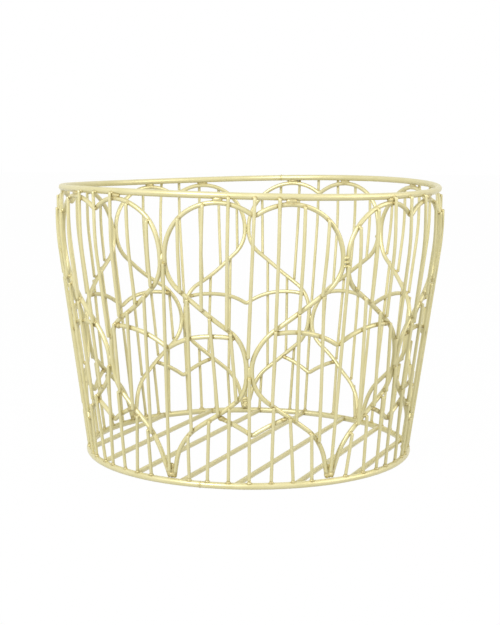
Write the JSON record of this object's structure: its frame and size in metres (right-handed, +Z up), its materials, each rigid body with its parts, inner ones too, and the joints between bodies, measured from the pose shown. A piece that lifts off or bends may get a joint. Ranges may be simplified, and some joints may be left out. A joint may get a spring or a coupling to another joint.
{
  "type": "wire basket",
  "caption": "Round open wire basket with a flared wall of welded wire hearts, upright bars, a thick rim and a base of parallel wires, in pale gold paint.",
  "frame": {"origin": "centre of the base, on the surface that the basket stands on", "axes": "+Z up through the open top; one heart of the wall faces -Y, which is the front; +X to the right as seen from the front"},
  "size_m": [0.3102, 0.3095, 0.217],
  "materials": {
    "ring_wire": "satin",
    "heart_wire": "satin",
    "bar_wire": "satin",
    "base_wire": "satin"
  },
  "bodies": {
    "root": {"top_ring": "ring_wire", "base_ring": "ring_wire", "heart_1": "heart_wire", "heart_2": "heart_wire", "heart_3": "heart_wire", "heart_4": "heart_wire", "heart_5": "heart_wire", "heart_6": "heart_wire", "heart_7": "heart_wire", "middle_arch_1": "heart_wire", "middle_arch_2": "heart_wire", "middle_arch_3": "heart_wire", "middle_arch_4": "heart_wire", "middle_arch_5": "heart_wire", "middle_arch_6": "heart_wire", "middle_arch_7": "heart_wire", "lower_arch_1": "heart_wire", "lower_arch_2": "heart_wire", "lower_arch_3": "heart_wire", "lower_arch_4": "heart_wire", "lower_arch_5": "heart_wire", "lower_arch_6": "heart_wire", "lower_arch_7": "heart_wire", "upper_bars_1": "bar_wire", "upper_bars_2": "bar_wire", "upper_bars_3": "bar_wire", "upper_bars_4": "bar_wire", "upper_bars_5": "bar_wire", "upper_bars_6": "bar_wire", "upper_bars_7": "bar_wire", "middle_bars_1": "bar_wire", "middle_bars_2": "bar_wire", "middle_bars_3": "bar_wire", "middle_bars_4": "bar_wire", "middle_bars_5": "bar_wire", "middle_bars_6": "bar_wire", "middle_bars_7": "bar_wire", "lower_bars_1": "bar_wire", "lower_bars_2": "bar_wire", "lower_bars_3": "bar_wire", "lower_bars_4": "bar_wire", "lower_bars_5": "bar_wire", "lower_bars_6": "bar_wire", "lower_bars_7": "bar_wire", "base_wire_1": "base_wire", "base_wire_2": "base_wire", "base_wire_3": "base_wire", "base_wire_4": "base_wire", "base_wire_5": "base_wire", "base_wire_6": "base_wire", "base_wire_7": "base_wire"}
  },
  "joints": []
}
